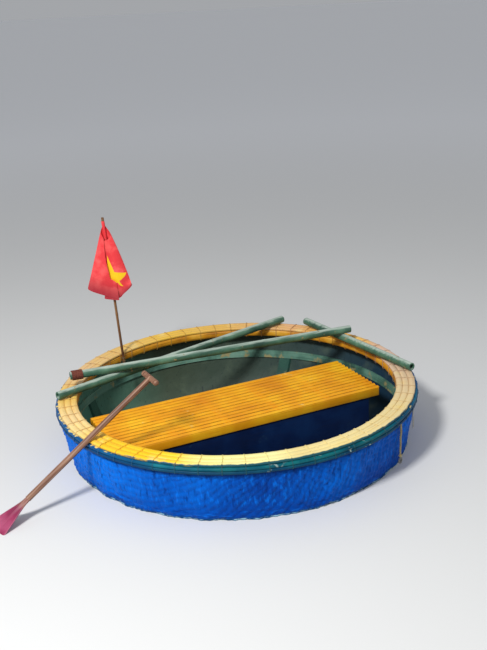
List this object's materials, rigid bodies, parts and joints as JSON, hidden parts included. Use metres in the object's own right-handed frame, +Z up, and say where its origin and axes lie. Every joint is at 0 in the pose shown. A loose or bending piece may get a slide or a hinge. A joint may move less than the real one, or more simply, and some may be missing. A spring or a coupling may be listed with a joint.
{
  "type": "coracle",
  "caption": "Round woven bamboo basket boat with a bound rim, a slatted bench across the middle, poles laid over the rim, a paddle and a small flag on a stick.",
  "frame": {"origin": "centre of the boat in the plane of the waterline", "axes": "+Z up, X along the length of the bench, -Y towards the side the bench is seen from"},
  "size_m": [2.514, 1.8034, 1.2693],
  "materials": {
    "hull_weave": "semi-gloss paint over woven bamboo",
    "outer_hoop_paint": "worn satin paint",
    "inner_hoop_paint": "worn satin paint",
    "rim_cap_paint": "worn satin paint",
    "lashing_cord": "weathered cord",
    "stringer_paint": "worn satin paint",
    "rib_paint": "worn satin paint",
    "board_paint": "satin paint",
    "bench_paint": "satin paint",
    "pole_paint": "satin paint over bamboo",
    "whipping_cord": "weathered cord",
    "bare_bamboo": "bare, weathered",
    "flag_cloth": "soft cotton",
    "paddle_wood": "worn varnish",
    "paddle_blade_paint": "worn satin paint",
    "rope": "weathered laid rope"
  },
  "bodies": {
    "root": {"bench_back_board": "board_paint", "bench_back_rail": "bench_paint", "bench_bearer_1": "bench_paint", "bench_bearer_2": "bench_paint", "bench_bearer_3": "bench_paint", "bench_bearer_4": "bench_paint", "bench_bearer_5": "bench_paint", "bench_bearer_6": "bench_paint", "bench_front_board": "board_paint", "bench_front_rail": "bench_paint", "bench_slat_01": "bench_paint", "bench_slat_02": "bench_paint", "bench_slat_03": "bench_paint", "bench_slat_04": "bench_paint", "bench_slat_05": "bench_paint", "bench_slat_06": "bench_paint", "bench_slat_07": "bench_paint", "bench_slat_08": "bench_paint", "bench_slat_09": "bench_paint", "bench_slat_10": "bench_paint", "bench_slat_11": "bench_paint", "bench_slat_12": "bench_paint", "bench_slat_13": "bench_paint", "cross_pole_a": "pole_paint", "cross_pole_b": "pole_paint", "cross_pole_c": "pole_paint", "flag_cloth": "flag_cloth", "flag_pole": "bare_bamboo", "flag_pole_lashings": "lashing_cord", "floor_rib_1_left": "rib_paint", "floor_rib_1_right": "rib_paint", "floor_rib_2_left": "rib_paint", "floor_rib_2_right": "rib_paint", "floor_rib_3_left": "rib_paint", "floor_rib_3_right": "rib_paint", "floor_rib_4_left": "rib_paint", "floor_rib_4_right": "rib_paint", "hull_shell": "hull_weave", "mooring_rope": "rope", "mooring_rope_knot": "rope", "mooring_rope_ring": "rope", "paddle_blade": "paddle_blade_paint", "paddle_grip": "paddle_wood", "paddle_shaft": "paddle_wood", "pole_whipping": "whipping_cord", "rim_cap": "rim_cap_paint", "rim_inner_hoop": "inner_hoop_paint", "rim_lashings": "lashing_cord", "rim_outer_hoop": "outer_hoop_paint", "stringer_hoop": "stringer_paint", "thin_rope": "rope"}
  },
  "joints": []
}
